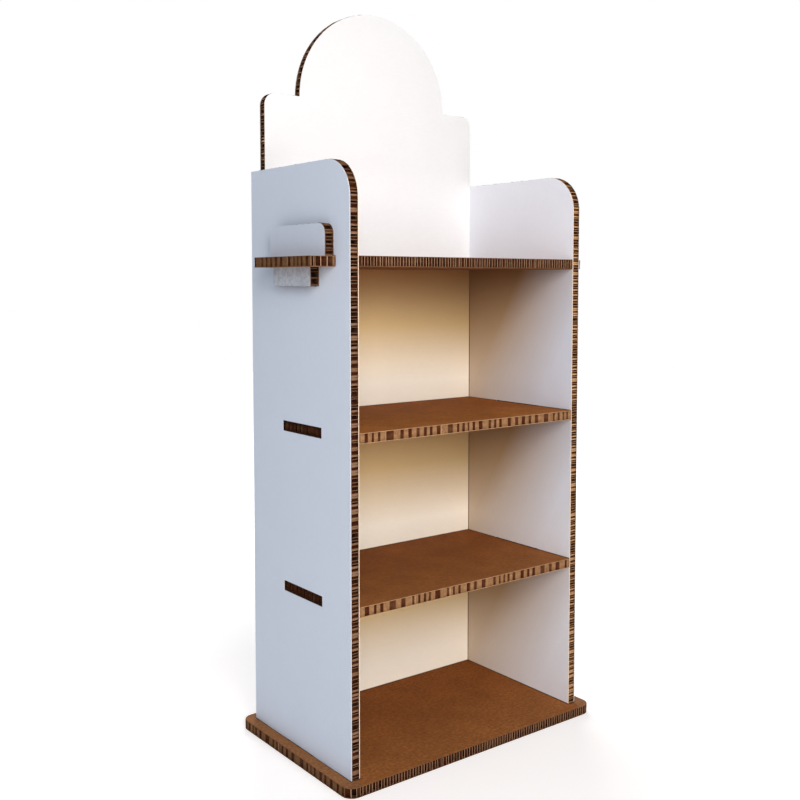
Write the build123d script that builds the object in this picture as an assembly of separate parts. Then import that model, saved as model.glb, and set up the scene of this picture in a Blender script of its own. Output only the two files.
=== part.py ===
"""Cardboard display stand: nine honeycomb boards that slot together without fasteners.

Every board is a laminate of two liners and a honeycomb core, and each of the three is a piece of
its own. Where a board is cut, the core's cells are open. X runs across the stand, Y from its front
to its back and Z up. The origin is on the floor, in the middle of the stand's overall box.
Lengths are in millimetres.
"""

from build123d import *
from dataclasses import dataclass
from math import atan2, cos, hypot, pi, sin
import os

os.makedirs("parts", exist_ok=True)

# Board stock
board = 20.0  # thickness of every board
white_liner = 1.5
kraft_liner = 1.0
white_ribbon_gap = 6.6  # between neighbouring ribbons of the core
kraft_ribbon_gap = 8.4
cell_repeat = 19.6  # along a ribbon, from one glued stretch to the next
cell_depth_share = 0.6  # of the ribbon gap, where a cut runs across the ribbons
glued_share = 1 / 3  # of the cell repeat, where a ribbon is glued to its neighbour
corner_wall = 4.0  # of core left whole on each side of a sharp corner

# Stand
inner_width = 574.0  # between the side panels
side_depth = 365.0
side_height = 1182.0  # above the base plate
side_radius = 75.0  # front top corner
bay_height = 313.0  # clear height under each shelf
back_inset = 3.0  # of the back panel from the side panels' rear edges
butt_gap = 0.5  # where one board's edge butts against another board's face

# Base plate
side_lip = 25.0
front_lip = 28.0
back_lip = 20.0
base_radius = 24.0

# Feet: tabs under the side and back panels, in slots of the base plate
side_foot = 80.0
back_foot = 100.0
foot_shortfall = 2.0  # of a foot from the underside of the base plate
side_foot_shares = (0.25, 0.75)  # of the side panel's depth, at the middles of its feet
back_foot_share = 0.5  # of the back panel's half width, at the middle of a foot
slot_play = 0.7  # on each side of a tab in its slot

# Header
shoulder_height = 1368.0  # above the floor
shoulder_radius = 26.0
arch_radius = 200.0

# Middle shelf tabs
short_tab = 143.0
short_tab_recess = 5.0  # of the tab's end from the side panel's outer face
slot_headroom = 1.5  # above a tab in its slot

# Top shelf tabs
through_tab = 211.0
through_tab_setback = 47.5  # from the side panel's front edge
through_tab_reach = 55.0  # outside the side panel

# Keys
key_play = 0.4  # between a key and the side panel, and all round its tail
key_head_height = 62.0
key_head_inset = 5.0  # from the ends of the through tab
key_radius = 20.0
tail_width = 138.0
tail_setback = 56.0  # from the front end of the through tab
tail_drop = 37.0  # below the top shelf

# Places worked out from the sizes above
base_width = inner_width + 2 * (board + side_lip)
base_depth = side_depth + front_lip + back_lip
side_front = front_lip - base_depth / 2
side_back = side_front + side_depth
side_top = board + side_height
back_front = side_back - back_inset - board
outer_face = inner_width / 2 + board
shelf_back = back_front - butt_gap
fitted_half_width = inner_width / 2 - butt_gap
shelf_middle = (side_front + shelf_back) / 2
lower_shelf, upper_shelf, top_shelf = [level * (board + bay_height) for level in (1, 2, 3)]
tab_front = side_front + through_tab_setback
tab_back = tab_front + through_tab
tail_front = tab_front + tail_setback
tail_back = tail_front + tail_width
side_feet = [side_front + side_depth * share for share in side_foot_shares]
back_foot_middle = fitted_half_width * back_foot_share
key_near = outer_face + key_play
key_far = key_near + board


@dataclass(frozen=True)
class Stock:
    """A kind of board: its liners and the spacing of its core's ribbons."""

    liner: float
    ribbon_gap: float


@dataclass(frozen=True)
class Corner:
    """A corner of a board's outline, and how the run that leaves it meets the core.

    cut is "across" or "along" the core's ribbons, or "shut" where the edge is left plain: at the
    rear, and where another board hides it. A run with a centre is an arc about it.
    """

    x: float
    y: float
    cut: str = "shut"
    radius: float = 0.0
    centre: tuple = None


@dataclass(frozen=True)
class Run:
    """A stretch of an outline, straight or an arc about a centre, with the board on its left.

    walls are the lengths at its start and end where no cell is cut open.
    """

    start: tuple
    end: tuple
    cut: str
    centre: tuple = None
    walls: tuple = (0.0, 0.0)

    @property
    def turn(self):
        """The angle in radians that an arc covers."""
        first, last = [atan2(y - self.centre[1], x - self.centre[0]) for x, y in (self.start, self.end)]
        return (last - first) % (2 * pi)

    @property
    def length(self):
        """The length along the run."""
        across, up = self.end[0] - self.start[0], self.end[1] - self.start[1]
        return hypot(across, up) if self.centre is None else self.turn * self.radius

    @property
    def radius(self):
        """The radius of an arc."""
        return hypot(self.start[0] - self.centre[0], self.start[1] - self.centre[1])

    def point(self, way, depth=0.0):
        """The point a way along the run, and a depth into the board."""
        if self.centre is None:
            ahead = [(last - first) / self.length for first, last in zip(self.start, self.end)]
            x = self.start[0] + ahead[0] * way - ahead[1] * depth
            y = self.start[1] + ahead[1] * way + ahead[0] * depth
            return x, y
        angle = atan2(self.start[1] - self.centre[1], self.start[0] - self.centre[0]) + way / self.radius
        inner = self.radius - depth
        return self.centre[0] + inner * cos(angle), self.centre[1] + inner * sin(angle)

    def edge(self):
        """The run as a smooth edge."""
        if self.centre is None:
            return Line(self.start, self.end)
        return ThreePointArc(self.start, self.point(self.length / 2), self.end)

    def cells(self, stock):
        """The run's points with the core's cells cut open, without its last point."""
        if self.cut == "shut":
            return [self.start]
        across = self.cut == "across"
        first, last = self.walls
        open_length = self.length - first - last
        count = max(1, round(open_length / (stock.ribbon_gap if across else cell_repeat)))
        step = open_length / count
        if across:
            shape = [(0, 0), (step / 2, stock.ribbon_gap * cell_depth_share)]
        else:
            glued = step * glued_share
            shape = [(glued / 2, 0), (step / 2, stock.ribbon_gap), (step - glued / 2, 0)]
        starts = [first + index * step for index in range(count)]
        points = [self.point(start + way, depth) for start in starts for way, depth in shape]
        if first or not across:
            points.insert(0, self.start)
        if last and across:
            points.append(self.point(self.length - last))
        return points


def outline(corners):
    """The runs of a closed outline, given anticlockwise, with its corners rounded."""
    runs = []
    for before, corner, after in zip(corners[-1:] + corners[:-1], corners, corners[1:] + corners[:1]):
        arrive, leave = toward(before, corner), toward(corner, after)
        round_start = corner.x - corner.radius * arrive[0], corner.y - corner.radius * arrive[1]
        round_end = corner.x + corner.radius * leave[0], corner.y + corner.radius * leave[1]
        if corner.radius:
            centre = round_start[0] + corner.radius * leave[0], round_start[1] + corner.radius * leave[1]
            runs.append(Run(round_start, round_end, "across", centre))
        stop = after.x - after.radius * leave[0], after.y - after.radius * leave[1]
        walls = tuple(0.0 if end.radius else corner_wall for end in (corner, after))
        runs.append(Run(round_end, stop, corner.cut, corner.centre, walls))
    return runs


def toward(first, last):
    """The direction from one corner to another."""
    across, up = last.x - first.x, last.y - first.y
    return across / hypot(across, up), up / hypot(across, up)


def mirrored(corners, last_cut):
    """The left half of an outline from its right half, whose last run is the one across the bottom."""
    cuts = [last_cut] + [corner.cut for corner in corners[:-1]]
    pairs = zip(reversed(corners), reversed(cuts))
    return [Corner(-corner.x, corner.y, cut, corner.radius) for corner, cut in pairs]


def slot(x_range, y_range):
    """A rectangular opening through a board, in the board's own plane."""
    (left, right), (low, high) = x_range, y_range
    return Pos((left + right) / 2, (low + high) / 2) * Rectangle(right - left, high - low)


def around(middle, width, play=0.0):
    """The stretch that something of a width covers about its middle, with play on each side."""
    return middle - width / 2 - play, middle + width / 2 + play


def lay_up(name, sides, plane, corners, slots, stock):
    """Writes a board's liner, core and liner, which lie on the plane and rise along its normal."""
    runs = outline(corners)
    smooth = make_face([run.edge() for run in runs])
    open_cells = make_face(Polyline(*[point for run in runs for point in run.cells(stock)], close=True))
    layers = (
        (f"{sides[0]}_liner", smooth, stock.liner),
        ("core", open_cells, board - 2 * stock.liner),
        (f"{sides[1]}_liner", smooth, stock.liner),
    )
    height = 0.0
    for layer, face, thickness in layers:
        for opening in slots:
            face = face - opening
        piece = extrude(plane.offset(height) * face, thickness, dir=plane.z_dir)
        export_step(piece, f"parts/{name}_{layer}.step")
        height += thickness


def base_plate():
    """The kraft plate that the panels stand in."""
    x, y = base_width / 2, base_depth / 2
    right = [Corner(x, -y, "along", base_radius), Corner(x, y, radius=base_radius)]
    wall = (inner_width / 2 - slot_play, outer_face + slot_play)
    opposite_wall = (-wall[1], -wall[0])
    slots = []
    for middle in side_feet:
        span = around(middle, side_foot, slot_play)
        slots += [slot(wall, span), slot(opposite_wall, span)]
    for middle in (-back_foot_middle, back_foot_middle):
        span = around(middle, back_foot, slot_play)
        slots.append(slot(span, (back_front - slot_play, back_front + board + slot_play)))
    lay_up("base", ("bottom", "top"), Plane.XY, right + mirrored(right, "across"), slots, kraft)


def foot(middle, width):
    """The corners of a foot under a panel."""
    left, right = around(middle, width)
    low = foot_shortfall
    return [Corner(left, board), Corner(left, low), Corner(right, low), Corner(right, board)]


def side_panels():
    """The two white side panels, each with three slots for the shelves."""
    corners = [corner for middle in side_feet for corner in foot(middle, side_foot)] + [
        Corner(side_back, board),
        Corner(side_back, side_top, "along"),
        Corner(side_front, side_top, "across", side_radius),
        Corner(side_front, board),
    ]
    slots = []
    for middle, width, level in (
        (shelf_middle, short_tab, lower_shelf),
        (shelf_middle, short_tab, upper_shelf),
        (tab_front + through_tab / 2, through_tab, top_shelf),
    ):
        slots.append(slot(around(middle, width, slot_play), (level, level + board + slot_headroom)))
    left, right = Plane.YZ.offset(-outer_face), Plane.YZ.offset(inner_width / 2)
    lay_up("left_side", ("outer", "inner"), left, corners, slots, white)
    lay_up("right_side", ("inner", "outer"), right, corners, slots, white)


def back_panel():
    """The white back panel, which rises above the side panels as a header with an arched top."""
    half = fitted_half_width
    right = foot(back_foot_middle, back_foot) + [
        Corner(half, board),
        Corner(half, side_top, "across"),
        Corner(half, shoulder_height, "along", shoulder_radius),
        Corner(arch_radius, shoulder_height, "along", centre=(0, shoulder_height)),
    ]
    rear_face = Plane.XZ.offset(-back_front - board)
    lay_up("back", ("rear", "front"), rear_face, right + mirrored(right, "shut"), [], white)


def shelf(name, level, front_cut, tab, slots=()):
    """A kraft shelf, from how its front edge meets the core and the corners of its right-hand tab."""
    right = [Corner(fitted_half_width, side_front), *tab, Corner(fitted_half_width, shelf_back)]
    corners = right + mirrored(right, front_cut)
    lay_up(name, ("bottom", "top"), Plane.XY.offset(level), corners, slots, kraft)


def middle_shelves():
    """The two shelves whose tabs end inside the side panels."""
    front, back = around(shelf_middle, short_tab)
    end = outer_face - short_tab_recess
    tab = [
        Corner(fitted_half_width, front),
        Corner(end, front),
        Corner(end, back),
        Corner(fitted_half_width, back),
    ]
    shelf("lower_shelf", lower_shelf, "along", tab)
    shelf("upper_shelf", upper_shelf, "along", tab)


def keyed_shelf():
    """The top shelf, whose tabs come out through the side panels and are slotted for the keys."""
    end = outer_face + through_tab_reach
    tab = [
        Corner(fitted_half_width, tab_front),
        Corner(outer_face, tab_front, "across"),
        Corner(end, tab_front, "along"),
        Corner(end, tab_back, "across"),
        Corner(outer_face, tab_back),
        Corner(fitted_half_width, tab_back),
    ]
    near, far = key_near - key_play, key_far + key_play
    span = (tail_front - key_play, tail_back + key_play)
    shelf("top_shelf", top_shelf, "across", tab, [slot((near, far), span), slot((-far, -near), span)])


def keys():
    """The two white T-shaped keys, whose heads rest on the top shelf's tabs."""
    low, under, seat = top_shelf - tail_drop, top_shelf, top_shelf + board
    head_front, head_back = tab_front + key_head_inset, tab_back - key_head_inset
    head_top = seat + key_head_height
    corners = [
        Corner(tail_front, low, "along"),
        Corner(tail_back, low, "across"),
        Corner(tail_back, under),
        Corner(tail_back, seat),
        Corner(head_back, seat, "across"),
        Corner(head_back, head_top, "along", key_radius),
        Corner(head_front, head_top, "across", key_radius),
        Corner(head_front, seat),
        Corner(tail_front, seat),
        Corner(tail_front, under, "across"),
    ]
    lay_up("left_key", ("outer", "inner"), Plane.YZ.offset(-key_far), corners, [], white)
    lay_up("right_key", ("inner", "outer"), Plane.YZ.offset(key_near), corners, [], white)


white = Stock(white_liner, white_ribbon_gap)
kraft = Stock(kraft_liner, kraft_ribbon_gap)

base_plate()
side_panels()
back_panel()
middle_shelves()
keyed_shelf()
keys()
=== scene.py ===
"""Cardboard display stand: the look of its boards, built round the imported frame.

Nine honeycomb boards slot together. The liners are the frame's own pieces, with paper finishes. Each
core is replaced by a real honeycomb of thin paper ribbons, which shows wherever its board is cut.
Every length is in metres, X runs across the stand, Y from its front to its back and Z up.
"""

from __future__ import annotations

import logging
import math
from dataclasses import dataclass, field
from enum import Enum
from functools import partialmethod

import bmesh
import bpy
from mathutils import Matrix, Vector


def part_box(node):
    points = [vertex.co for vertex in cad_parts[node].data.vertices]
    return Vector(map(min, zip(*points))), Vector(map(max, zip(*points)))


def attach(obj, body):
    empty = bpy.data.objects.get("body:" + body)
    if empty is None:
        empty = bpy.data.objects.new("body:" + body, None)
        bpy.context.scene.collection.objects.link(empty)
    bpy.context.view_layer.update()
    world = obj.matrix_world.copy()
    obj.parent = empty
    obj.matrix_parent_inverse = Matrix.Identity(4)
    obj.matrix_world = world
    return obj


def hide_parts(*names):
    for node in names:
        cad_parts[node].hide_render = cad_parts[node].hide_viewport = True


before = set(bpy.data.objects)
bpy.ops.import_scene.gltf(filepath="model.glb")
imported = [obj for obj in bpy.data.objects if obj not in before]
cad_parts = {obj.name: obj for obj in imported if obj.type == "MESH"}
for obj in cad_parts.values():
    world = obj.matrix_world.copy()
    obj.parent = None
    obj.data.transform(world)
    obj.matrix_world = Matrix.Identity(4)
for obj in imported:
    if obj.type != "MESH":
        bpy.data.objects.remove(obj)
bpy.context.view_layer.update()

log = logging.getLogger("stand")

MM = 0.001
MERGE = 0.02 * MM  # vertices of a liner nearer than this are one
DEPTH = "depth"  # the attribute that holds how deep a ribbon's point lies behind the cut, by which its paper takes painted shade
SLOT = "slot"  # the attribute that marks the corners of the slots in an outline
NOISE_RANGE = (0.3, 0.7)  # between which nearly all of a noise's values lie
HALF = 0.5
QUARTER = 0.25
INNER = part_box("right_side_inner_liner")[0].x  # of the side panels' faces in the bays
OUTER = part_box("right_side_outer_liner")[1].x  # of their outside faces
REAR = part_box("back_front_liner")[0].y  # of the back panel's front face

Colour = tuple[float, float, float]
Triple = tuple[float, float, float]
Pair = tuple[float, float]
Socket = bpy.types.NodeSocket
Outputs = bpy.types.NodeOutputs


class Axis(Enum):
    """A direction of the frame, by its place in a point."""

    X = 0
    Y = 1
    Z = 2

    @property
    def unit(self) -> Vector:
        """The unit vector along the axis."""
        return Vector([float(place == self.value) for place in range(3)])


class Nodes:
    """Adds nodes to one tree and joins them."""

    def __init__(self, tree: bpy.types.NodeTree) -> None:
        """Keeps the tree.

        Args:
            tree: The node tree that is filled.
        """
        self.tree = tree

    def add(self, kind: str, inputs: dict | None = None, **settings: object) -> bpy.types.Node:
        """Adds one node.

        Args:
            kind: The node's type.
            inputs: Values or sockets for its inputs, by name or place.
            settings: The node's own properties.

        Returns:
            The new node.
        """
        node = self.tree.nodes.new(kind)
        for name, value in settings.items():
            setattr(node, name, value)
        for key, value in (inputs or {}).items():
            if isinstance(value, Socket):
                self.tree.links.new(value, node.inputs[key])
            else:
                node.inputs[key].default_value = value
        return node

    def math(self, operation: str, *values: object) -> Socket:
        """The result of a Math node on some values or sockets."""
        return self.add("ShaderNodeMath", dict(enumerate(values)), operation=operation).outputs[0]

    # the sums that are used most; above and below give 1 where they hold and 0 elsewhere
    plus = partialmethod(math, "ADD")
    minus = partialmethod(math, "SUBTRACT")
    times = partialmethod(math, "MULTIPLY")
    ratio = partialmethod(math, "DIVIDE")
    above = partialmethod(math, "GREATER_THAN")
    below = partialmethod(math, "LESS_THAN")

    def vector(self, operation: str, *values: object) -> Socket:
        """The vector that a Vector Math node makes of some values or sockets."""
        return self.add("ShaderNodeVectorMath", dict(enumerate(values)), operation=operation).outputs[0]

    def parts(self, vector: Socket) -> Outputs:
        """The X, Y and Z of a vector."""
        return self.add("ShaderNodeSeparateXYZ", {0: vector}).outputs

    def point(self, x: object = 0.0, y: object = 0.0, z: object = 0.0) -> Socket:
        """A vector from its X, Y and Z."""
        return self.add("ShaderNodeCombineXYZ", {0: x, 1: y, 2: z}).outputs[0]

    def noise(self, where: Socket, scale: float, detail: float = 2.0, seed: object = 0.0) -> Outputs:
        """The Fac and Color of a noise texture, with a seed for its fourth dimension."""
        inputs = {"Vector": where, "W": seed, "Scale": scale, "Detail": detail}
        return self.add("ShaderNodeTexNoise", inputs, noise_dimensions="4D").outputs

    def ramp(self, value: Socket, low: object, high: object,
             to_low: object = 0.0, to_high: object = 1.0) -> Socket:
        """A value carried from one range to another, and held inside it."""
        inputs = {0: value, 1: low, 2: high, 3: to_low, 4: to_high}
        return self.add("ShaderNodeMapRange", inputs).outputs[0]

    def blend(self, share: object, first: object, second: object, kind: str = "MIX") -> Socket:
        """A colour between two others.

        Args:
            share: How far it is from the first to the second, as a value or a socket.
            first: The first colour, as a value or a socket.
            second: The second one.
            kind: How they are blended.

        Returns:
            The blended colour.
        """
        node = self.add("ShaderNodeMix", {0: share}, data_type="RGBA", blend_type=kind)
        for place, value in ((6, first), (7, second)):
            if isinstance(value, Socket):
                self.tree.links.new(value, node.inputs[place])
            else:
                node.inputs[place].default_value = (*value, 1.0)
        return node.outputs[2]

    def drop(self, geometry: Socket, selection: Socket, edges: bool = False) -> Socket:
        """A geometry without some of its points or edges.

        Args:
            geometry: The geometry.
            selection: What is dropped.
            edges: Whether that is chosen by edge, and not by point.

        Returns:
            What is left.
        """
        parts = {"domain": "EDGE", "mode": "EDGE_FACE"} if edges else {"domain": "POINT", "mode": "ALL"}
        inputs = {"Geometry": geometry, "Selection": selection}
        return self.add("GeometryNodeDeleteGeometry", inputs, **parts).outputs[0]


def fresh_nodes(owner: bpy.types.Material | bpy.types.World) -> Nodes:
    """Empties the tree of a material or a world.

    Args:
        owner: The material or the world.

    Returns:
        The maker of its nodes.
    """
    owner.use_nodes = True
    owner.node_tree.nodes.clear()
    return Nodes(owner.node_tree)


def new_object(name: str, data: bpy.types.ID) -> bpy.types.Object:
    """Makes an object and links it into the scene.

    Args:
        name: Its name.
        data: Its mesh, lamp or camera.

    Returns:
        The object.
    """
    thing = bpy.data.objects.new(name, data)
    bpy.context.scene.collection.objects.link(thing)
    return thing


@dataclass(frozen=True, kw_only=True)
class Paper:
    """A matt paper with a fine relief. gloss is its share of plain reflection."""

    name: str
    roughness: float
    relief: float
    gloss: float

    def surface(self, nodes: Nodes, colour: Socket, height: Socket) -> None:
        """Ends the material's tree in the paper's surface.

        Args:
            nodes: The maker of the nodes.
            colour: The paper's colour.
            height: The height of its relief, from 0 to 1.
        """
        bump = nodes.add("ShaderNodeBump", {"Height": height, "Distance": self.relief, "Strength": 1.0})
        shader = nodes.add("ShaderNodeBsdfPrincipled", {
            "Base Color": colour, "Roughness": self.roughness, "Specular IOR Level": self.gloss,
            "Normal": bump.outputs[0],
        })
        nodes.add("ShaderNodeOutputMaterial", {"Surface": shader.outputs[0]})


@dataclass(frozen=True, kw_only=True)
class LinerPaper(Paper):
    """The facing paper of a board, with its cut edge and its glued side in colours of their own.

    mottle, blotch and fibre are how much the colour varies in wide clouds, in small spots and from
    fibre to fibre. normal is the direction that the board's faces look in, and core_way is 1 or -1, the
    way from the liner to the core along it.
    """

    face: Colour
    edge: Colour
    glued: Colour
    normal: Axis
    core_way: float
    mottle: float
    blotch: float
    fibre: float
    gloss: float = 0.25
    seed: float = 1.0
    scales: Triple = (14.0, 150.0, 900.0)  # of the clouds, the spots and the specks
    strands: Pair = (70.0, 260.0)  # the fibres' noise scale along them and across them
    fibre_height: float = 0.6  # the fibres' share of the relief, of which the specks make the rest

    def build(self) -> bpy.types.Material:
        """Makes the material.

        Returns:
            The material, whose colour and relief follow the object's own coordinates.
        """
        material = bpy.data.materials.new(self.name)
        nodes = fresh_nodes(material)
        where = nodes.add("ShaderNodeTexCoord").outputs["Object"]
        clouds, spots, specks = self.scales
        cloud = nodes.noise(where, clouds, 3.0, self.seed)["Fac"]
        spot = nodes.noise(where, spots, 2.0, self.seed + 3)["Fac"]
        speck = nodes.noise(where, specks, 3.0, self.seed + 1)["Fac"]
        along, across = self.strands
        stretch = tuple(along if axis is self.grain else across for axis in Axis)
        long_ways = nodes.vector("MULTIPLY", where, stretch)
        strand = nodes.noise(long_ways, 1.0, 4.0, self.seed + 2)["Fac"]
        tone = 1.0
        amounts = (self.mottle, self.blotch, self.fibre, self.fibre / 2)
        for pattern, amount in zip((cloud, spot, strand, speck), amounts):
            varied = nodes.ramp(pattern, *NOISE_RANGE, 1.0 - amount, 1.0 + amount)
            tone = nodes.times(varied, tone)
        facing = nodes.parts(nodes.add("ShaderNodeNewGeometry").outputs["True Normal"])[self.normal.value]
        cut = nodes.below(nodes.math("ABSOLUTE", facing), HALF)
        hidden = nodes.above(nodes.times(facing, self.core_way), HALF)
        outside = nodes.blend(cut, self.face_colour(nodes, where), self.edge_colour(nodes, where))
        colour = nodes.blend(hidden, outside, self.glued)
        colour = nodes.add("ShaderNodeVectorMath", {0: colour, "Scale": tone}, operation="SCALE").outputs[0]
        fibres = nodes.times(strand, self.fibre_height)
        height = nodes.plus(fibres, nodes.times(speck, 1.0 - self.fibre_height))
        self.surface(nodes, colour, height)
        return material

    def face_colour(self, nodes: Nodes, where: Socket) -> Socket | Colour:
        """The colour of the paper's face, before its mottling."""
        return self.face

    def edge_colour(self, nodes: Nodes, where: Socket) -> Socket | Colour:
        """The colour of the paper's cut edge, before its mottling."""
        return self.edge

    @property
    def grain(self) -> Axis:
        """The direction that the paper's fibres lie in."""
        return Axis.X if self.normal is not Axis.X else Axis.Z


@dataclass(frozen=True)
class BayPaper(LinerPaper):
    """White facing paper with painted shade and warm painted light inside the bays, most at their rear and
    under each shelf, where the shelves throw shadow and the kraft throws back warm light.

    cream is its colour low in a bay's rear, ochre the one halfway up and tan the one under the shelf. In the
    lowest bay low_ochre and low_tan take their places. bay_face is its colour in the upper bays, painted for
    the light there, and header_face the one just above the top shelf, painted paler where the header lies in
    shade. Fine dark lines of painted shade show where the boards meet.
    """

    bay_face: Colour = (0.86, 0.85, 0.84)
    header_face: Colour = (0.955, 0.965, 0.955)
    cream: Colour = (0.93, 0.85, 0.71)
    ochre: Colour = (0.71, 0.5, 0.24)
    low_ochre: Colour = (0.83, 0.585, 0.25)
    tan: Colour = (0.33, 0.14, 0.042)
    low_tan: Colour = (0.67, 0.335, 0.085)
    joint_shade: Colour = (0.2, 0.11, 0.06)
    joint_shade_width: float = 1.4 * MM
    reach: float = 0.235  # from the back panel, over which the side panels' paper turns cream, as painted shade
    slant: float = 0.19  # how much further the painted shade reaches under the shelf than on the floor
    levels: Pair = (0.15, 0.55)  # shares of a bay's height up to cream and at ochre
    shade_onset_height: float = 0.2  # above the base, over which the lowest bay's painted ochre shade begins
    lowest_share: float = 0.15  # of the ochre at the base, against the one higher up in the lowest bay
    bays_to_ochre: float = 1.2  # above the base, over which low_ochre turns into ochre
    header_fade: float = 0.24  # above the top shelf, over which header_face turns into the face
    right_shade: float = 0.28  # painted shade: how much darker the back panel is at its right, high in a bay

    def face_colour(self, nodes: Nodes, where: Socket) -> Socket:
        """White at the front and above the top shelf, with painted shade in the bays: cream, and tan under
        the shelves.

        Args:
            nodes: The maker of the nodes.
            where: The point on the board.

        Returns:
            The colour there.
        """
        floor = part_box("base_top_liner")[1].z
        shelf_low, shelf_high = (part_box(f"lower_shelf_{side}_liner") for side in ("bottom", "top"))
        bay = shelf_high[1].z - floor
        top = (shelf_low[0].z - floor) / bay
        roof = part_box("top_shelf_bottom_liner")[0].z
        place = nodes.parts(where)
        height = nodes.math("FRACT", nodes.ratio(nodes.minus(place[2], floor), bay))
        # painted shade and warm painted light: cream low in a bay's rear, ochre halfway up and tan under the
        # shelf, reaching further forward under the shelf
        strength = nodes.ramp(place[2], floor, floor + self.shade_onset_height, self.lowest_share, 1.0)
        halfway = nodes.times(nodes.ramp(height, *self.levels), strength)
        under = nodes.ramp(height, self.levels[1], top)
        upper = nodes.ramp(place[2], shelf_low[0].z, floor + 2.0 * bay)
        deep = nodes.math("MULTIPLY_ADD", height, self.slant, place[1])
        inside = nodes.below(place[2], roof)
        share = nodes.times(nodes.ramp(deep, REAR - self.reach, REAR), inside)
        tan = nodes.blend(upper, self.low_tan, self.tan)
        second = nodes.ramp(place[2], floor + self.shade_onset_height, floor + self.bays_to_ochre * bay)
        ochre = nodes.blend(second, self.low_ochre, self.ochre)
        painted_shade = nodes.blend(under, nodes.blend(halfway, self.cream, ochre), tan)
        # painted light: the header is made paler just above the top shelf, where it lies in shade, and the
        # upper bays take a tone of their own for the light there
        above = nodes.blend(nodes.ramp(place[2], roof, roof + self.header_fade), self.header_face, self.face)
        plain = nodes.blend(inside, above, nodes.blend(upper, self.face, self.bay_face))
        shaded = nodes.blend(share, plain, painted_shade)
        # painted shade: dark lines along the corners where the boards meet, and under and over each shelf
        if self.normal is Axis.X:
            corner = nodes.above(place[1], REAR - self.joint_shade_width)
        else:
            side = INNER - self.joint_shade_width
            corner = nodes.above(nodes.math("ABSOLUTE", place[0]), side)
            # painted shade: the back panel darker at its right, high in a bay, where the right panel's
            # shadow falls
            right = nodes.times(nodes.ramp(place[0], 0.0, side, 0.0, self.right_shade), inside)
            shaded = nodes.blend(nodes.times(right, halfway), shaded, (0.0, 0.0, 0.0))
        foot = nodes.below(height, self.joint_shade_width / bay)
        head = nodes.above(height, top - self.joint_shade_width / bay)
        joint_shade = nodes.math("MAXIMUM", corner, nodes.math("MAXIMUM", foot, head))
        return nodes.blend(nodes.times(joint_shade, inside), shaded, self.joint_shade)


@dataclass(frozen=True)
class KeyPaper(LinerPaper):
    """The white facing paper of a key, greyed by painted shade: cool grey on its head like the outer faces,
    and darker and scuffed on its tail.
    """

    # painted shade: the head's cool grey, the same as the outer faces'
    head: Colour = (0.7, 0.765, 0.86)
    scuffed: Colour = (0.5, 0.545, 0.6)
    scuff_scale: float = 130.0
    scuff_edges: Pair = (0.4, 0.62)  # the noise's values at which scuffs begin and end

    def face_colour(self, nodes: Nodes, where: Socket) -> Socket:
        """The head's colour above the top shelf, and the tail's mottled one below it.

        Args:
            nodes: The maker of the nodes.
            where: The point on the key.

        Returns:
            The colour there.
        """
        above = nodes.above(nodes.parts(where)[2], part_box("top_shelf_top_liner")[1].z)
        scuff = nodes.noise(where, self.scuff_scale, 3.0, self.seed + 5)["Fac"]
        scuff = nodes.ramp(scuff, *self.scuff_edges)
        return nodes.blend(above, nodes.blend(scuff, self.face, self.scuffed), self.head)


@dataclass(frozen=True)
class KraftPaper(LinerPaper):
    """Brown facing paper, with painted shade: darker towards the back panel, and in dark lines where other
    boards stand on it.

    lip is its colour beyond the side panels, and tab_edge the one of its cut edge outside the bays, on the
    boards' tabs, which on the middle shelves is painted shade inside the slots. upper_tint multiplies the
    colour of the upper middle shelf's top.
    """

    # painted shade: the kraft's colour at the back panel, deep in the bays
    deep: Colour = (0.2, 0.058, 0.009)
    lip: Colour = (0.29, 0.122, 0.045)
    upper_tint: Colour = (1.19, 1.13, 0.82)
    tab_edge: Colour = (0.2, 0.1, 0.05)
    joint_shade: Colour = (0.05, 0.022, 0.012)
    joint_shade_width: float = 2.4 * MM

    def face_colour(self, nodes: Nodes, where: Socket) -> Socket:
        """The front's colour, turning into the deep one at the back panel, with dark lines round the sides,
        both painted shade.

        Args:
            nodes: The maker of the nodes.
            where: The point on the board.

        Returns:
            The colour there.
        """
        low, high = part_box("right_side_core")
        place = nodes.parts(where)
        # painted shade: darker towards the back panel
        plain = nodes.blend(nodes.ramp(place[1], low.y, REAR), self.face, self.deep)
        across = nodes.minus(nodes.math("ABSOLUTE", place[0]), (INNER + OUTER) / 2)
        plain = nodes.blend(nodes.above(across, 0.0), plain, self.lip)
        above = nodes.above(place[2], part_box("upper_shelf_top_liner")[0].z)
        below = nodes.below(place[2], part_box("top_shelf_bottom_liner")[0].z)
        plain = nodes.blend(nodes.times(above, below), plain, self.upper_tint, "MULTIPLY")
        # painted shade: dark lines where the side panels stand on the board and along the back panel
        reach = (OUTER - INNER) / 2 + self.joint_shade_width
        foot = nodes.below(nodes.math("ABSOLUTE", across), reach)
        foot = nodes.times(foot, nodes.above(place[1], low.y - self.joint_shade_width))
        foot = nodes.times(foot, nodes.below(place[1], high.y))
        back = nodes.above(place[1], REAR - self.joint_shade_width)
        back = nodes.times(back, nodes.below(across, 0.0))
        return nodes.blend(nodes.math("MAXIMUM", foot, back), plain, self.joint_shade)

    def edge_colour(self, nodes: Nodes, where: Socket) -> Socket:
        """The edge's colour between the side panels, and the tabs' one outside them."""
        beyond = nodes.above(nodes.math("ABSOLUTE", nodes.parts(where)[0]), INNER)
        return nodes.blend(beyond, self.edge, self.tab_edge)


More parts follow.
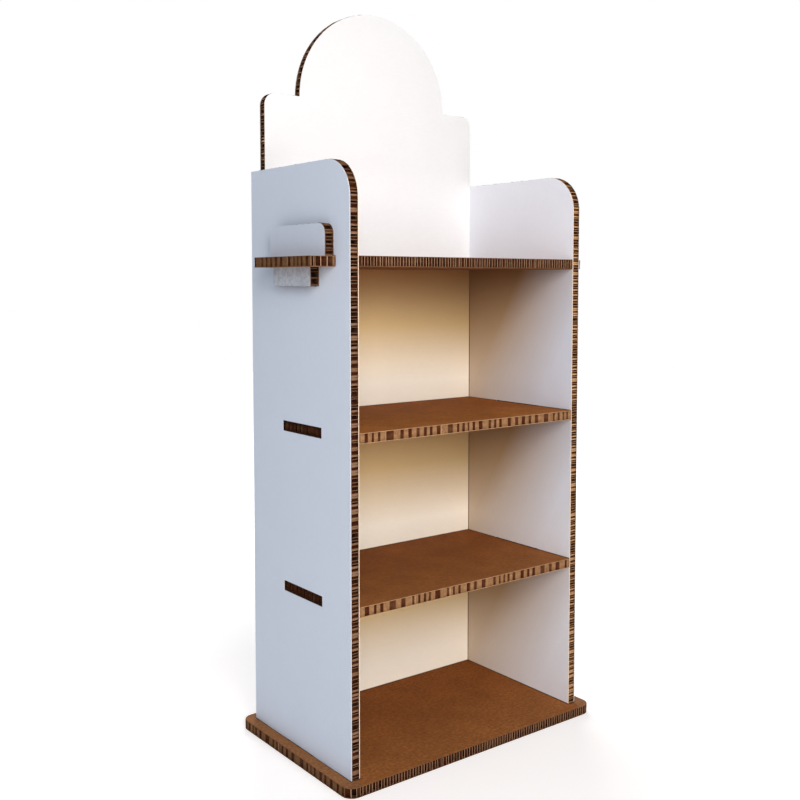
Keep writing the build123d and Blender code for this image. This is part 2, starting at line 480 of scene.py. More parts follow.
@dataclass(frozen=True, kw_only=True)
class RibbonPaper(Paper):
    """The thin paper of a honeycomb's ribbons.

    torn is its colour where a cut has torn its fibres. It is between tan and brown where it lies flat in the
    cut, and dark inside the cells, as painted shade. clearness is how dark even the clearest cells are, as a
    share. pit is its colour far behind the cut and in the slots, painted shade reached between the two
    pit_depths.
    """

    torn: Colour
    tan: Colour
    brown: Colour
    dark: Colour
    clearness: float
    flat_depth: float = 0.4 * MM
    dark_depth: float = 1.4 * MM
    pit: Colour = (0.03, 0.013, 0.007)
    pit_depths: Pair = (5.0 * MM, 15.0 * MM)
    scales: Triple = (1400.0, 420.0, 95.0)  # of the specks, the crumples and the clouds
    weights: Triple = (0.2, 0.35, 0.45)  # theirs in how tan the paper is
    crumple_range: Pair = (0.35, 0.65)
    clear_scale: float = 38.0
    clear_edges: Pair = (0.36, 0.56)  # the noise's values between which cells turn dark
    roughness: float = 0.9
    gloss: float = 0.05
    relief: float = 0.05 * MM

    def build(self) -> bpy.types.Material:
        """Makes the material.

        Returns:
            The material, which varies from wall to wall and along each wall.
        """
        material = bpy.data.materials.new(self.name)
        nodes = fresh_nodes(material)
        where = nodes.add("ShaderNodeTexCoord").outputs["Object"]
        speck, crumple, cloud = (
            nodes.noise(where, scale, 2.0, seed)["Fac"] for scale, seed in zip(self.scales, (4.0, 6.0, 3.0))
        )
        share = 0.0
        ranges = (NOISE_RANGE, self.crumple_range, NOISE_RANGE)
        for pattern, limits, weight in zip((speck, crumple, cloud), ranges, self.weights):
            share = nodes.plus(nodes.ramp(pattern, *limits, 0.0, weight), share)
        depth = nodes.add("ShaderNodeAttribute", attribute_name=DEPTH).outputs["Fac"]
        clear = nodes.noise(where, self.clear_scale, 1.0, 5.0)["Fac"]
        clear = nodes.ramp(clear, *self.clear_edges, self.clearness, 1.0)
        # painted shade: the paper darkens with its depth behind the cut, inside the cells and in the slots
        shade = nodes.times(nodes.ramp(depth, self.flat_depth, self.dark_depth), clear)
        wall = nodes.blend(shade, nodes.blend(share, self.brown, self.tan), self.dark)
        wall = nodes.blend(nodes.ramp(depth, *self.pit_depths), wall, self.pit)
        colour = nodes.blend(nodes.ramp(depth, 0.0, self.flat_depth), self.torn, wall)
        self.surface(nodes, colour, speck)
        return material


@dataclass
class HoneycombTree:
    """The Geometry Nodes tree that fills a board's outline with a honeycomb of paper ribbons.

    It takes the outline as loose edges in the XY plane, with the ribbons along X. Only a band behind
    the cut edges is kept, because the rest is shut in between the liners.
    """

    wall: float = 0.75 * MM
    band: float = 24.0 * MM
    glued_share: float = 0.27
    press: float = 6.5 * MM  # how far outside the cut a ribbon may stand and still be pressed against it
    samples: int = 8  # of each ribbon in one repeat of its cells
    lean: float = 0.32
    drift: float = 3.0  # of the cells along the ribbons, in repeats
    start_scale: float = 14.0  # of the noise that shifts each ribbon's first cell
    drift_scale: float = 18.0
    crease_scales: Pair = (28.0, 130.0)  # of the walls' broad and fine unevenness
    lean_scale: float = 45.0
    overrun: float = 1.0  # above the outline, where the inside test starts
    slot_shade: float = 0.55  # the depth that each unit of length inside a slot counts for
    flat_depth: float = 0.42 * MM  # that a ribbon pressed against the cut counts for
    bridge: float = 0.3 * MM  # how far off the outline a wall's middle may stand
    squeeze: float = 0.4  # of the drift's noise across the ribbons
    sockets: dict[str, str] = field(default_factory=dict)
    nodes: Nodes = field(init=False)
    given: Outputs = field(init=False)  # what the tree is given

    def build(self) -> bpy.types.NodeTree:
        """Builds the tree and keeps the identifiers of its inputs.

        Returns:
            The tree.
        """
        tree = bpy.data.node_groups.new("honeycomb_core", "GeometryNodeTree")
        wanted = (
            ("Outline", "Geometry", None),
            ("Ribbon Gap", "Float", 7.0 * MM),
            ("Cell Repeat", "Float", 20.0 * MM),
            ("Glued Share", "Float", self.glued_share),
            ("Wall", "Float", self.wall),
            ("Core Height", "Float", 17.0 * MM),
            ("Band", "Float", self.band),
            ("Press", "Float", self.press),
            ("Overhang", "Float", 1.0 * MM),
            ("Slots From", "Float", self.overrun),
            ("Samples", "Int", self.samples),
            ("Unevenness", "Float", 2.0 * MM),
            ("Lean", "Float", self.lean),
            ("Wander", "Float", 0.5),
            ("Seed", "Float", 1.0),
            ("Paper", "Material", None),
        )
        for name, kind, value in wanted:
            socket = tree.interface.new_socket(name, in_out="INPUT", socket_type=f"NodeSocket{kind}")
            self.sockets[name] = socket.identifier
            if value is not None:
                socket.default_value = value
        tree.interface.new_socket("Honeycomb", in_out="OUTPUT", socket_type="NodeSocketGeometry")
        self.nodes = Nodes(tree)
        self.given = self.nodes.add("NodeGroupInput").outputs
        self._fill()
        return tree

    def _fill(self) -> None:
        """Joins the tree's nodes, from the outline to the finished ribbons."""
        nodes, given = self.nodes, self.given
        box = nodes.add("GeometryNodeBoundBox", {"Geometry": given["Outline"]}).outputs
        size = nodes.parts(nodes.vector("SUBTRACT", box["Max"], box["Min"]))
        height = nodes.math("MULTIPLY_ADD", given["Overhang"], 2.0, size[1])
        spaces = nodes.math("ROUND", nodes.ratio(height, given["Ribbon Gap"]))
        gap = nodes.ratio(height, spaces)
        ribbons = self._straight_ribbons(box, height, spaces)
        ribbons = self._waved(ribbons, nodes.parts(box["Min"]), gap)
        ribbons = self._cut_out(ribbons)
        walls = self._walls(ribbons)
        finished = nodes.add("GeometryNodeRealizeInstances", {0: walls}).outputs[0]
        dressed = nodes.add("GeometryNodeSetMaterial", {"Geometry": finished, "Material": given["Paper"]})
        nodes.add("NodeGroupOutput", {0: dressed.outputs[0]})

    def _straight_ribbons(self, box: Outputs, height: Socket, spaces: Socket) -> Socket:
        """Lays straight lines over the outline's box, the first and the last just beyond its edges.

        Args:
            box: The outline's box.
            height: The distance from the first line to the last.
            spaces: The number of spaces between them.

        Returns:
            The lines, as loose edges.
        """
        nodes, given = self.nodes, self.given
        size = nodes.parts(nodes.vector("SUBTRACT", box["Max"], box["Min"]))
        middle = nodes.vector("SCALE", nodes.vector("ADD", box["Max"], box["Min"]))
        middle.node.inputs["Scale"].default_value = HALF
        step = nodes.ratio(given["Cell Repeat"], given["Samples"])
        columns = nodes.plus(nodes.math("CEIL", nodes.ratio(size[0], step)), 3.0)
        grid = nodes.add("GeometryNodeMeshGrid", {
            "Size X": nodes.times(nodes.minus(columns, 1.0), step),
            "Size Y": height,
            "Vertices X": columns,
            "Vertices Y": nodes.plus(spaces, 1.0),
        }).outputs["Mesh"]
        ends = nodes.add("GeometryNodeInputMeshEdgeVertices").outputs
        way = nodes.vector("ABSOLUTE", nodes.vector("SUBTRACT", ends["Position 1"], ends["Position 2"]))
        along, between = nodes.parts(way)[:2]
        lines = nodes.drop(grid, nodes.above(between, along), edges=True)
        return nodes.add("GeometryNodeTransform", {"Geometry": lines, "Translation": middle}).outputs[0]

    def _waved(self, ribbons: Socket, low: Outputs, gap: Socket) -> Socket:
        """Bends neighbouring ribbons apart and together again, and makes them uneven.

        Args:
            ribbons: The straight lines.
            low: The low corner of the outline's box.
            gap: The distance from one line to the next.

        Returns:
            The wavy lines.
        """
        nodes, given = self.nodes, self.given
        where = nodes.add("GeometryNodeInputPosition").outputs[0]
        place = nodes.parts(where)
        up = nodes.plus(nodes.minus(place[1], low[1]), given["Overhang"])
        row = nodes.math("ROUND", nodes.ratio(up, gap))
        along = nodes.minus(place[0], low[0])
        start = nodes.noise(nodes.point(y=place[1]), self.start_scale, 1.0, given["Seed"])["Fac"]
        squeezed = nodes.point(along, nodes.times(place[1], self.squeeze))
        here = nodes.noise(squeezed, self.drift_scale, 0.0, given["Seed"])["Fac"]
        fade = nodes.times(nodes.ramp(along, 0.0, given["Cell Repeat"]), self.drift)
        wander = nodes.times(nodes.minus(start, HALF), given["Wander"])
        wander = nodes.math("MULTIPLY_ADD", nodes.minus(here, HALF), fade, wander)
        turn = nodes.ratio(along, given["Cell Repeat"])
        turn = nodes.plus(nodes.plus(turn, QUARTER), wander)
        turn = nodes.plus(turn, nodes.times(row, HALF))
        saw = nodes.math("ABSOLUTE", nodes.minus(nodes.math("FRACT", turn), HALF))
        triangle = nodes.minus(nodes.ratio(saw, QUARTER), 1.0)
        steep = nodes.ratio(1.0, nodes.minus(1.0, nodes.times(given["Glued Share"], 2.0)))
        wave = nodes.math("MAXIMUM", nodes.math("MINIMUM", nodes.times(triangle, steep), 1.0), -1.0)
        reach = nodes.times(nodes.minus(gap, given["Wall"]), HALF)
        shifted = nodes.vector("ADD", where, nodes.point(y=nodes.times(wave, reach)))
        broad, fine = (
            nodes.noise(shifted, scale, 1.0, given["Seed"])["Color"] for scale in self.crease_scales
        )
        crease = nodes.vector("SUBTRACT", nodes.vector("ADD", broad, fine), (1.0, 1.0, 1.0))
        flat = nodes.point(given["Unevenness"], given["Unevenness"])
        moved = nodes.vector("ADD", shifted, nodes.vector("MULTIPLY", crease, flat))
        return nodes.add("GeometryNodeSetPosition", {"Geometry": ribbons, "Position": moved}).outputs[0]

    def _cut_out(self, ribbons: Socket) -> Socket:
        """Ends the ribbons that cross the outline on it, and drops what lies deep behind it.

        A stretch that runs along the cut just outside it is pressed flat against it, as a saw leaves it.
        One that would bridge an inward corner is dropped.

        Args:
            ribbons: The wavy lines.

        Returns:
            Those of them that a cut shows, with their depth behind it as an attribute.
        """
        nodes, given = self.nodes, self.given
        where = nodes.add("GeometryNodeInputPosition").outputs[0]
        loops = nodes.add("GeometryNodeMeshToCurve", {"Mesh": given["Outline"]}).outputs[0]
        sheet = nodes.add("GeometryNodeFillCurve", {"Curve": loops}).outputs[0]
        hit = nodes.add("GeometryNodeRaycast", {
            "Target Geometry": sheet,
            "Source Position": nodes.vector("ADD", where, (0.0, 0.0, self.overrun)),
            "Ray Direction": (0.0, 0.0, -1.0),
            "Ray Length": self.overrun * 2,
        }).outputs["Is Hit"]
        outside = nodes.add("FunctionNodeBooleanMath", {0: hit}, operation="NOT").outputs[0]
        near = nodes.add("GeometryNodeProximity", {0: given["Outline"]}, target_element="EDGES").outputs
        away = nodes.parts(nodes.vector("ABSOLUTE", nodes.vector("SUBTRACT", near["Position"], where)))
        across = nodes.below(away[1], away[0])
        beyond = nodes.above(near["Distance"], given["Press"])
        lost = nodes.times(nodes.math("MAXIMUM", across, beyond), outside)
        ends = nodes.add("GeometryNodeInputMeshEdgeVertices").outputs
        first, second = (
            nodes.add("GeometryNodeFieldAtIndex", {"Value": lost, "Index": ends[f"Vertex Index {end}"]},
                      data_type="FLOAT", domain="POINT").outputs["Value"]
            for end in (1, 2)
        )
        inner = nodes.drop(ribbons, nodes.times(first, second), edges=True)
        marked = nodes.add("GeometryNodeStoreNamedAttribute", {
            "Geometry": inner, "Name": DEPTH, "Value": self._depth(where, outside, across),
        }, data_type="FLOAT", domain="POINT").outputs[0]
        flush = nodes.add("GeometryNodeSetPosition", {
            "Geometry": marked, "Selection": outside, "Position": near["Position"],
        }).outputs[0]
        off = nodes.above(near["Distance"], self.bridge)
        tight = nodes.drop(flush, nodes.times(off, outside), edges=True)
        return nodes.drop(tight, nodes.above(near["Distance"], given["Band"]))

    def _depth(self, where: Socket, outside: Socket, across: Socket) -> Socket:
        """Finds how deep each point lies in the dark: not at all at a cut end, and fully in a slot.

        Args:
            where: The point.
            outside: Whether it lies outside the outline.
            across: Whether its ribbon runs across the cut there.

        Returns:
            The depth.
        """
        nodes, given = self.nodes, self.given
        mark = nodes.add("GeometryNodeInputNamedAttribute", {"Name": SLOT}, data_type="FLOAT")
        rim = nodes.drop(given["Outline"], mark.outputs["Attribute"])
        behind = nodes.add("GeometryNodeProximity", {0: rim}, target_element="EDGES").outputs["Distance"]
        near_rim = nodes.below(behind, given["Press"])
        pressed = nodes.times(nodes.minus(1.0, across), self.flat_depth)
        at_cut = nodes.times(outside, near_rim)
        depth = nodes.add("ShaderNodeMix", {0: at_cut, 2: behind, 3: pressed}, data_type="FLOAT").outputs[0]
        reach = nodes.math("ABSOLUTE", nodes.parts(where)[0])
        in_slot = nodes.math("MAXIMUM", nodes.minus(reach, given["Slots From"]), 0.0)
        return nodes.math("MULTIPLY_ADD", in_slot, self.slot_shade, depth)

    def _walls(self, ribbons: Socket) -> Socket:
        """Turns the lines into closed paper walls that stand between the liners.

        Args:
            ribbons: The lines.

        Returns:
            The walls.
        """
        nodes, given = self.nodes, self.given
        where = nodes.add("GeometryNodeInputPosition").outputs[0]
        curves = nodes.add("GeometryNodeMeshToCurve", {"Mesh": ribbons}).outputs[0]
        upright = nodes.add("GeometryNodeSetCurveNormal", {"Curve": curves}, mode="Z_UP").outputs[0]
        sway = nodes.minus(nodes.noise(where, self.lean_scale, 1.0, given["Seed"])["Fac"], HALF)
        tilted = nodes.add("GeometryNodeSetCurveTilt", {
            "Curve": upright, "Tilt": nodes.times(sway, given["Lean"]),
        }).outputs[0]
        section = nodes.add("GeometryNodeCurvePrimitiveQuadrilateral", {
            "Width": given["Wall"], "Height": given["Core Height"],
        }).outputs[0]
        return nodes.add("GeometryNodeCurveToMesh", {
            "Curve": tilted, "Profile Curve": section, "Fill Caps": True,
        }).outputs[0]


@dataclass(frozen=True)
class Core:
    """What the honeycomb of a board is like.

    gap is the space from one ribbon to the next and repeat the length of a cell and its glued stretch
    along a ribbon. wander is how far neighbouring ribbons' cells stray along them, in repeats, and
    unevenness how far their walls stray. overhang is how far the first and the last ribbon's middle
    line lies beyond the board's edge.
    """

    paper: RibbonPaper
    gap: float
    wander: float
    unevenness: float
    overhang: float = 1.2 * MM
    repeat: float = 19.6 * MM


class Use(Enum):
    """What a facing paper is for."""

    BAY = "bay"
    KEY = "key"
    WHITE = "white"
    SHELF = "shelf"
    KRAFT = "kraft"


@dataclass
class Board:
    """One honeycomb board: its liners' finishes and its core.

    ribbons is the direction that the core's ribbons run in, and stacked the one that they follow each
    other in. The board's faces look along the third.
    """

    name: str
    liners: tuple[str, str]  # the one on the normal's low side first
    ribbons: Axis
    stacked: Axis
    core: Core
    seed: float
    bay_side: str = ""  # the liner that the bays show
    recess: float = 0.0  # from the side panels' faces to the ends of the ribbons in their slots

    @property
    def normal(self) -> Axis:
        """The direction that the board's faces look in."""
        return next(axis for axis in Axis if axis not in (self.ribbons, self.stacked))

    def dress(self, stand: Stand) -> None:
        """Gives each liner its paper.

        Args:
            stand: The stand, which chooses the papers.
        """
        for side, core_way in zip(self.liners, (1.0, -1.0)):
            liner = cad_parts[f"{self.name}_{side}_liner"]
            paper = stand.paper(self, core_way, side == self.bay_side)
            liner.data.materials.clear()
            liner.data.materials.append(paper)
            log.info("%s is dressed in %s", liner.name, paper.name)

    def outline(self) -> bpy.types.Mesh:
        """The outline of the board and of its slots, as loose edges in the XY plane.

        Returns:
            A mesh whose X is the ribbons' direction and whose Y is the stacked one.
        """
        solid = bmesh.new()
        solid.from_mesh(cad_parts[f"{self.name}_{self.liners[0]}_liner"].data)
        bmesh.ops.remove_doubles(solid, verts=solid.verts, dist=MERGE)
        level = min(vertex.co[self.normal.value] for vertex in solid.verts)
        lying = {
            face for face in solid.faces
            if all(abs(vertex.co[self.normal.value] - level) < MERGE for vertex in face.verts)
        }
        rim = [edge for edge in solid.edges if sum(face in lying for face in edge.link_faces) == 1]
        corners = sorted({vertex for edge in rim for vertex in edge.verts}, key=lambda vertex: vertex.index)
        number = {vertex: place for place, vertex in enumerate(corners)}
        mesh = bpy.data.meshes.new(f"{self.name}_outline")
        points = [
            Vector((vertex.co[self.ribbons.value], vertex.co[self.stacked.value], 0.0)) for vertex in corners
        ]
        if self.recess:
            end = OUTER - self.recess
            for point in points:
                point.x = max(-end, min(end, point.x))
        links = [tuple(number[vertex] for vertex in edge.verts) for edge in rim]
        mesh.from_pydata(points, links, [])
        mesh.attributes.new(SLOT, "FLOAT", "POINT").data.foreach_set("value", self.slots(points, links))
        solid.free()
        return mesh

    @staticmethod
    def slots(points: list[Vector], links: list[tuple[int, int]]) -> list[float]:
        """Tells the corners of the slots from those of the outer edge.

        Args:
            points: The corners of an outline.
            links: The edges between them, which make closed loops.

        Returns:
            For each corner 1 on a slot, and 0 on the loop that reaches furthest out.
        """
        beside: dict[int, list[int]] = {}
        for first, second in links:
            beside.setdefault(first, []).append(second)
            beside.setdefault(second, []).append(first)
        outer = {min(beside, key=lambda place: points[place].x)}
        edge = list(outer)
        while edge:
            edge = [place for last in edge for place in beside[last] if place not in outer]
            outer.update(edge)
        return [float(place not in outer) for place in range(len(points))]

    def fill(self, tree: bpy.types.NodeTree, maker: HoneycombTree) -> bpy.types.Object:
        """Replaces the core with a honeycomb.

        Args:
            tree: The Geometry Nodes tree.
            maker: The tree's maker, which knows its inputs.

        Returns:
            The honeycomb, as a plain mesh in its place.
        """
        low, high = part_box(f"{self.name}_core")
        normal = self.normal.value
        piece = new_object(f"{self.name}_honeycomb", self.outline())
        modifier = piece.modifiers.new("honeycomb", "NODES")
        modifier.node_group = tree
        core = self.core
        values = {
            "Ribbon Gap": core.gap,
            "Cell Repeat": core.repeat,
            "Core Height": high[normal] - low[normal],
            "Wander": core.wander,
            "Unevenness": core.unevenness,
            "Overhang": core.overhang,
            "Seed": self.seed,
            "Paper": bpy.data.materials.get(core.paper.name) or core.paper.build(),
        }
        if self.recess:
            values["Slots From"] = INNER
        for name, value in values.items():
            modifier[maker.sockets[name]] = value
        graph = bpy.context.evaluated_depsgraph_get()
        mesh = bpy.data.meshes.new_from_object(piece.evaluated_get(graph), depsgraph=graph)
        piece.modifiers.remove(modifier)
        along, up = self.ribbons.unit, self.stacked.unit
        turn = Matrix((along, up, along.cross(up))).transposed().to_4x4()
        middle = self.normal.unit * (low[normal] + high[normal]) / 2
        mesh.transform(Matrix.Translation(middle) @ turn)
        mesh.name = piece.name
        piece.data = mesh
        log.info("%s has %d faces", piece.name, len(mesh.polygons))
        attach(piece, "root")
        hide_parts(f"{self.name}_core")
        return piece


@dataclass
class Stand:
    """All the boards of the stand, with the colours of their papers and the ribbons of their cores.

    Each gap is the space from one ribbon to the next in a kind of board.
    """

    left_gap: float = 7.4 * MM
    right_gap: float = 5.6 * MM
    white_gap: float = 6.6 * MM
    kraft_gap: float = 7.0 * MM
    tab_recess: float = 5.0 * MM  # of the middle shelves' cores
    white: Colour = (0.82, 0.81, 0.795)
    side_white: Colour = (0.9, 0.92, 0.975)
    # painted shade: the white paper of the outside faces in a cool shaded grey
    outer_shade_white: Colour = (0.77, 0.845, 0.95)
    # painted shade: the side panels' white paper in the upper bays
    side_bay_shade_white: Colour = (0.76, 0.81, 0.915)
    # painted shade: the keys' white paper greyed as in shade, on their tails
    key_shade_white: Colour = (0.66, 0.71, 0.78)
    white_edge: Colour = (0.9, 0.7, 0.53)
    pale_edge: Colour = (0.7, 0.68, 0.68)
    kraft: Colour = (0.345, 0.125, 0.034)
    # painted shade: the boards' undersides darker than their tops
    kraft_under_shade: Colour = (0.17, 0.066, 0.024)
    kraft_edge: Colour = (0.17, 0.075, 0.032)
    shelf_edge: Colour = (0.48, 0.275, 0.138)
    # painted shade: the cut edges of the middle shelves' tabs inside the slots
    slot_edge_shade: Colour = (0.03, 0.013, 0.007)
    key_edge: Colour = (0.14, 0.075, 0.04)
    glued: Colour = (0.1, 0.042, 0.018)
    # painted shade and warm painted light of the side panels' paper in the bays: cream, ochre and tan
    side_cream: Colour = (0.64, 0.53, 0.41)
    side_ochre: Colour = (0.48, 0.335, 0.2)
    side_low_ochre: Colour = (0.5, 0.355, 0.215)
    side_tan: Colour = (0.27, 0.14, 0.058)
    side_low_tan: Colour = (0.36, 0.21, 0.1)
    # The ribbon papers stand for one paper in different light: those of the left side, the keys and the
    # back, base and top shelf are darker copies, painted shade for the cut edges that the light reaches
    # least.
    tan_ribbons: RibbonPaper = RibbonPaper(
        name="tan_ribbons", torn=(0.5, 0.285, 0.14), tan=(0.43, 0.235, 0.108), brown=(0.17, 0.072, 0.03),
        dark=(0.065, 0.017, 0.006), clearness=0.8, dark_depth=1.1 * MM)
    orange_ribbons: RibbonPaper = RibbonPaper(
        name="orange_ribbons", torn=(0.5, 0.3, 0.15), tan=(0.36, 0.175, 0.06), brown=(0.22, 0.083, 0.025),
        dark=(0.1, 0.03, 0.008), clearness=0.8, dark_depth=1.0 * MM)
    red_ribbons: RibbonPaper = RibbonPaper(
        name="red_ribbons", torn=(0.24, 0.14, 0.085), tan=(0.23, 0.115, 0.05), brown=(0.13, 0.05, 0.02),
        dark=(0.045, 0.01, 0.003), clearness=0.85, dark_depth=1.0 * MM)
    shaded_ribbons: RibbonPaper = RibbonPaper(
        name="shaded_ribbons", torn=(0.43, 0.26, 0.16), tan=(0.25, 0.135, 0.06), brown=(0.14, 0.062, 0.026),
        dark=(0.055, 0.014, 0.005), clearness=0.8, dark_depth=0.8 * MM)
    key_ribbons: RibbonPaper = RibbonPaper(
        name="key_ribbons", torn=(0.18, 0.097, 0.052), tan=(0.2, 0.1, 0.045), brown=(0.1, 0.045, 0.02),
        dark=(0.03, 0.01, 0.005), clearness=0.8, dark_depth=0.8 * MM)

    def boards(self) -> list[Board]:
        """Lists the boards, with the way that their ribbons run.

        Returns:
            The boards, the side panels first.
        """
        outer, inner, faces = ("outer", "inner"), ("inner", "outer"), ("bottom", "top")
        dark = self.shaded_ribbons
        left = Core(self.red_ribbons, self.left_gap, wander=0.45, unevenness=2.2 * MM)
        right = Core(self.orange_ribbons, self.right_gap, wander=0.25, unevenness=1.6 * MM)
        white = Core(dark, self.white_gap, wander=0.6, unevenness=2.8 * MM)
        key = Core(self.key_ribbons, self.white_gap, wander=0.6, unevenness=2.8 * MM)
        kraft = Core(dark, self.kraft_gap, wander=0.15, unevenness=2.0 * MM, overhang=1.8 * MM)
        shelf = Core(self.tan_ribbons, self.kraft_gap, wander=0.35, unevenness=3.4 * MM, overhang=0.9 * MM)
        return [
            Board("left_side", outer, Axis.Y, Axis.Z, left, 1.0, "inner"),
            Board("right_side", inner, Axis.Y, Axis.Z, right, 2.0, "inner"),
            Board("back", ("front", "rear"), Axis.X, Axis.Z, white, 3.0, "front"),
            Board("left_key", outer, Axis.Y, Axis.Z, key, 4.0),
            Board("right_key", inner, Axis.Y, Axis.Z, key, 5.0),
            Board("base", faces, Axis.Y, Axis.X, kraft, 6.0),
            Board("top_shelf", faces, Axis.Y, Axis.X, kraft, 7.0),
            Board("upper_shelf", faces, Axis.X, Axis.Y, shelf, 8.0, recess=self.tab_recess),
            Board("lower_shelf", faces, Axis.X, Axis.Y, shelf, 9.0, recess=self.tab_recess),
        ]

    def paper(self, board: Board, core_way: float, in_bays: bool) -> bpy.types.Material:
        """The facing paper of one side of a board.

        Args:
            board: The board.
            core_way: 1 or -1, the way from the liner to the core.
            in_bays: Whether the bays show this side.

        Returns:
            The material, which is made once for all the boards that share it.
        """
        normal = board.normal
        use = Use.BAY if in_bays else Use.KEY if "key" in board.name else Use.WHITE
        if normal is Axis.Z:
            use = Use.SHELF if board.recess else Use.KRAFT
        name = f"{use.value}_paper_{normal.name.lower()}_{'low' if core_way > 0 else 'high'}"
        if name in bpy.data.materials:
            return bpy.data.materials[name]
        where = {"name": name, "glued": self.glued, "normal": normal, "core_way": core_way}
        if normal is Axis.Z:
            if use is Use.SHELF:
                # painted shade: the middle shelves' tab edges are dark inside the slots
                where.update(edge=self.shelf_edge, tab_edge=self.slot_edge_shade, blotch=0.12)
            else:
                where.update(edge=self.kraft_edge, blotch=0.24)
            # painted shade: a board's underside takes a darker copy of the kraft
            face = self.kraft_under_shade if core_way > 0 else self.kraft
            return KraftPaper(face=face, mottle=0.12, fibre=0.16, roughness=0.8, relief=0.05 * MM,
                              gloss=0.1, **where).build()
        where.update(roughness=0.6, relief=0.012 * MM)
        if use is Use.KEY:
            where.update(mottle=0.01, blotch=0.01, fibre=0.015)
            return KeyPaper(face=self.key_shade_white, edge=self.key_edge, **where).build()
        where.update(mottle=0.008, blotch=0.006, fibre=0.01)
        if use is Use.WHITE:
            # painted shade: the outside faces take the cool shaded grey
            face = self.outer_shade_white if normal is Axis.X else self.white
            return LinerPaper(face=face, edge=self.pale_edge, **where).build()
        if normal is Axis.X:
            return BayPaper(face=self.side_white, header_face=self.side_white, bay_face=self.side_bay_shade_white,
                            edge=self.white_edge, cream=self.side_cream, ochre=self.side_ochre,
                            low_ochre=self.side_low_ochre, tan=self.side_tan, low_tan=self.side_low_tan,
                            **where).build()
        return BayPaper(face=self.white, edge=self.white_edge, **where).build()

    def build(self) -> None:
        """Dresses the liners and fills the boards."""
        maker = HoneycombTree()
        tree = maker.build()
        for board in self.boards():
            board.dress(self)
            board.fill(tree, maker)


@dataclass
class StudioCamera:
    """The camera at the photograph's place, with its angles in degrees and its lens in millimetres."""

    place: Triple = (-1.38915, -1.7446, 0.9704)
    turn: float = -37.433
    pitch: float = -3.687
    lens: float = 46.247
    sensor: float = 36.0
    shift: float = -0.065

    def build(self) -> None:
        """Makes the camera and puts it in use."""
        data = bpy.data.cameras.new("camera")
        data.lens, data.sensor_width, data.shift_y = self.lens, self.sensor, self.shift
        camera = new_object("camera", data)
        camera.location = self.place
        camera.rotation_euler = (math.radians(90 + self.pitch), 0.0, math.radians(self.turn))
        bpy.context.scene.camera = camera


@dataclass(frozen=True)
class SoftLamp:
    """A square area lamp that looks at a point."""

    name: str
    place: Triple
    aim: Triple
    size: float
    power: float
    colour: Colour = (1.0, 1.0, 1.0)
    spread: float = 180.0  # in degrees

    def build(self) -> None:
        """Makes the lamp."""
        data = bpy.data.lights.new(self.name, "AREA")
        data.size, data.energy, data.color = self.size, self.power, self.colour
        data.spread = math.radians(self.spread)
        lamp = new_object(self.name, data)
        lamp.location = self.place
        lamp.rotation_mode = "QUATERNION"
        lamp.rotation_quaternion = (Vector(self.aim) - Vector(self.place)).to_track_quat("-Z", "Y")


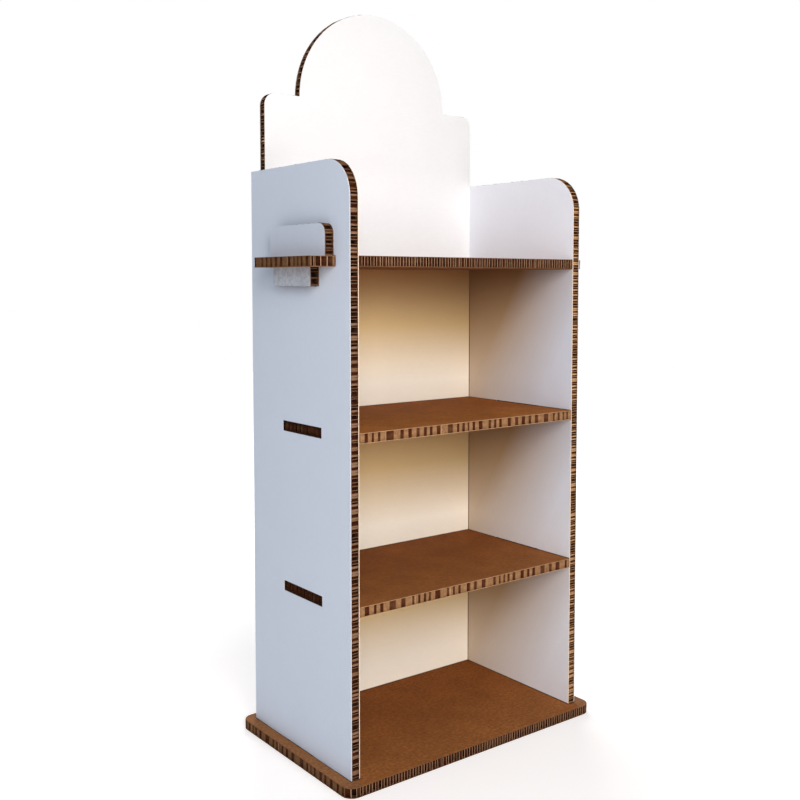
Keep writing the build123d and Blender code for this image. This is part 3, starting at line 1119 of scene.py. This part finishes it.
@dataclass
class Studio:
    """The floor, the white surroundings and the lamps."""

    floor_reach: float = 8.0
    floor_colour: Colour = (0.85, 0.8, 0.75)
    floor_glow: float = 0.45  # of the floor round the stand, which still shows the stand's shadow
    glow_radii: Pair = (0.6, 2.2)  # between which the floor turns into the plain white
    ambient: Colour = (0.19, 0.22, 0.28)

    def lamps(self) -> list[SoftLamp]:
        """Lists the lamps.

        Returns:
            The lamps, the key light first.
        """
        return [
            SoftLamp("key_lamp", place=(-1.7, -3.4, 2.1), aim=(0.0, 0.0, 0.3), size=2.0, power=120.0,
                     colour=(1.0, 0.97, 0.945)),
            SoftLamp("low_lamp", place=(-0.4, -2.6, 0.35), aim=(0.0, 0.1, 0.1), size=1.0, power=19.0,
                     colour=(1.0, 0.97, 0.96)),
            SoftLamp("header_lamp", place=(-0.08, -1.7, 1.5), aim=(-0.1, 0.16, 1.2), size=0.5, power=0.25,
                     spread=36.0),
            SoftLamp("rear_lamp", place=(2.0, 3.0, 2.2), aim=(0.0, 0.1, 0.7), size=1.8, power=70.0),
        ]

    def build(self) -> None:
        """Makes the whole studio."""
        for lamp in self.lamps():
            lamp.build()
        self.surround()
        self.lay_floor()
        bpy.context.scene.view_settings.view_transform = "Standard"

    def seen(self, nodes: Nodes) -> Socket:
        """Tells the rays that show the surroundings from those that light the stand.

        Args:
            nodes: The maker of the nodes.

        Returns:
            1 for a ray that shows them, and 0 for another.
        """
        path = nodes.add("ShaderNodeLightPath").outputs
        seen = nodes.math("MAXIMUM", path["Is Camera Ray"], path["Is Glossy Ray"])
        return nodes.math("MAXIMUM", seen, path["Is Transmission Ray"])

    def surround(self) -> None:
        """A world that looks white and lights the stand softly."""
        world = bpy.data.worlds.new("studio")
        nodes = fresh_nodes(world)
        soft = nodes.add("ShaderNodeBackground", {"Color": (*self.ambient, 1.0), "Strength": 1.0})
        white = nodes.add("ShaderNodeBackground", {"Color": (1.0, 1.0, 1.0, 1.0), "Strength": 1.0})
        inputs = {0: self.seen(nodes), 1: soft.outputs[0], 2: white.outputs[0]}
        mixed = nodes.add("ShaderNodeMixShader", inputs)
        nodes.add("ShaderNodeOutputWorld", {"Surface": mixed.outputs[0]})
        bpy.context.scene.world = world

    def lay_floor(self) -> None:
        """A pale floor that throws light back at the stand, keeps its shadow and ends in plain white."""
        reach = self.floor_reach
        corners = [(-reach, -reach, 0.0), (reach, -reach, 0.0), (reach, reach, 0.0), (-reach, reach, 0.0)]
        mesh = bpy.data.meshes.new("floor")
        mesh.from_pydata(corners, [], [(0, 1, 2, 3)])
        floor = new_object("floor", mesh)
        material = bpy.data.materials.new("pale_floor")
        nodes = fresh_nodes(material)
        plain = nodes.add("ShaderNodeBsdfDiffuse", {"Color": (*self.floor_colour, 1.0)})
        where = nodes.add("ShaderNodeTexCoord").outputs["Object"]
        away = nodes.add("ShaderNodeVectorMath", {0: where}, operation="LENGTH").outputs["Value"]
        strength = nodes.ramp(away, *self.glow_radii, self.floor_glow)
        glow = nodes.add("ShaderNodeEmission", {"Strength": strength})
        shown = nodes.add("ShaderNodeAddShader", {0: plain.outputs[0], 1: glow.outputs[0]})
        inputs = {0: self.seen(nodes), 1: plain.outputs[0], 2: shown.outputs[0]}
        mixed = nodes.add("ShaderNodeMixShader", inputs)
        nodes.add("ShaderNodeOutputMaterial", {"Surface": mixed.outputs[0]})
        mesh.materials.append(material)


def main() -> None:
    """Builds the stand's looks, the studio and the camera."""
    logging.basicConfig(level=logging.INFO)
    StudioCamera().build()
    Stand().build()
    Studio().build()


if __name__ == "__main__":
    main()
